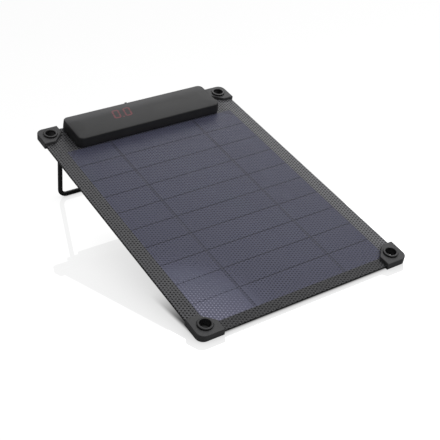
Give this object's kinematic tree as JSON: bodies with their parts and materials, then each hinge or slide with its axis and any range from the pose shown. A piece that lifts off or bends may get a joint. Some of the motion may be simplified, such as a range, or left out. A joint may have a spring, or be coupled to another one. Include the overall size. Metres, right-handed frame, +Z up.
{
  "type": "folding solar panel",
  "caption": "Rigid camping solar panel with blue cell strips, corner eyelets, a slim charge controller and a bent-wire folding kickstand.",
  "frame": {"origin": "middle of the footprint, on the surface the panel stands on with its kickstand open", "axes": "+Z up, +Y from the low front edge towards the raised rear edge with the controller, +X to the right seen from the front"},
  "size_m": [0.1826, 0.2564, 0.0737],
  "materials": {
    "front_film": "embossed clear fluoropolymer film over black encapsulant, satin gloss",
    "solar_cell": "dark blue silicon wafer strips seen through the film",
    "ribbon": "tinned copper ribbon",
    "backing": "black glass-fibre board, fine weave",
    "guard_plastic": "fine-textured black ABS",
    "eyelet_plastic": "satin black plastic",
    "housing_plastic": "fine-textured black ABS",
    "base_plastic": "black ABS",
    "gasket_foam": "black foam seal",
    "flap_rubber": "soft black silicone rubber",
    "stand_wire": "black powder-coated steel wire, satin",
    "screw_steel": "black zinc-plated steel",
    "pcb": "green solder mask",
    "chip_plastic": "black epoxy",
    "can_metal": "drawn aluminium can",
    "socket_metal": "nickel-plated steel",
    "display_body": "white reflector body",
    "lead_insulation_red": "red insulation",
    "lead_insulation_black": "black insulation"
  },
  "bodies": {
    "panel": {"front_film": "front_film", "backing_board": "backing", "cell_strip_01": "solar_cell", "cell_strip_02": "solar_cell", "cell_strip_03": "solar_cell", "cell_strip_04": "solar_cell", "cell_strip_05": "solar_cell", "cell_strip_06": "solar_cell", "cell_strip_07": "solar_cell", "cell_strip_08": "solar_cell", "cell_strip_09": "solar_cell", "cell_strip_10": "solar_cell", "busbar_ribbon_left": "ribbon", "busbar_ribbon_right": "ribbon", "cross_ribbon_front": "ribbon", "cross_ribbon_rear": "ribbon", "return_ribbon": "ribbon", "corner_guard_front_left": "guard_plastic", "eyelet_front_left": "eyelet_plastic", "eyelet_washer_front_left": "eyelet_plastic", "corner_guard_front_right": "guard_plastic", "eyelet_front_right": "eyelet_plastic", "eyelet_washer_front_right": "eyelet_plastic", "corner_guard_rear_left": "guard_plastic", "eyelet_rear_left": "eyelet_plastic", "eyelet_washer_rear_left": "eyelet_plastic", "corner_guard_rear_right": "guard_plastic", "eyelet_rear_right": "eyelet_plastic", "eyelet_washer_rear_right": "eyelet_plastic", "housing_cover": "housing_plastic", "housing_gasket": "gasket_foam", "housing_base": "base_plastic", "circuit_board": "pcb", "board_screw_left": "screw_steel", "board_screw_right": "screw_steel", "digit_display": "display_body", "usb_socket_shell": "socket_metal", "usb_socket_tongue": "chip_plastic", "regulator_chip": "chip_plastic", "power_inductor": "chip_plastic", "input_capacitor": "can_metal", "output_capacitor": "can_metal", "blocking_diode": "chip_plastic", "lead_positive": "lead_insulation_red", "lead_negative": "lead_insulation_black", "rear_hinge_plate": "base_plastic", "rear_screw_1": "screw_steel", "rear_screw_2": "screw_steel", "rear_screw_3": "screw_steel", "rear_screw_4": "screw_steel"},
    "stand": {"stand_wire": "stand_wire"},
    "port_flap": {"port_cover": "flap_rubber"}
  },
  "joints": [
    {"name": "stand_fold", "type": "hinge", "parent": "panel", "child": "stand", "pos_m": [0, 0.11417, 0.05657], "axis": [-1, 0, 0], "range_deg": [0, 88.6]},
    {"name": "port_cover_flip", "type": "hinge", "parent": "panel", "child": "port_flap", "pos_m": [0.001, 0.12169, 0.06574], "axis": [-1, 0, 0], "range_deg": [0, 110]}
  ]
}
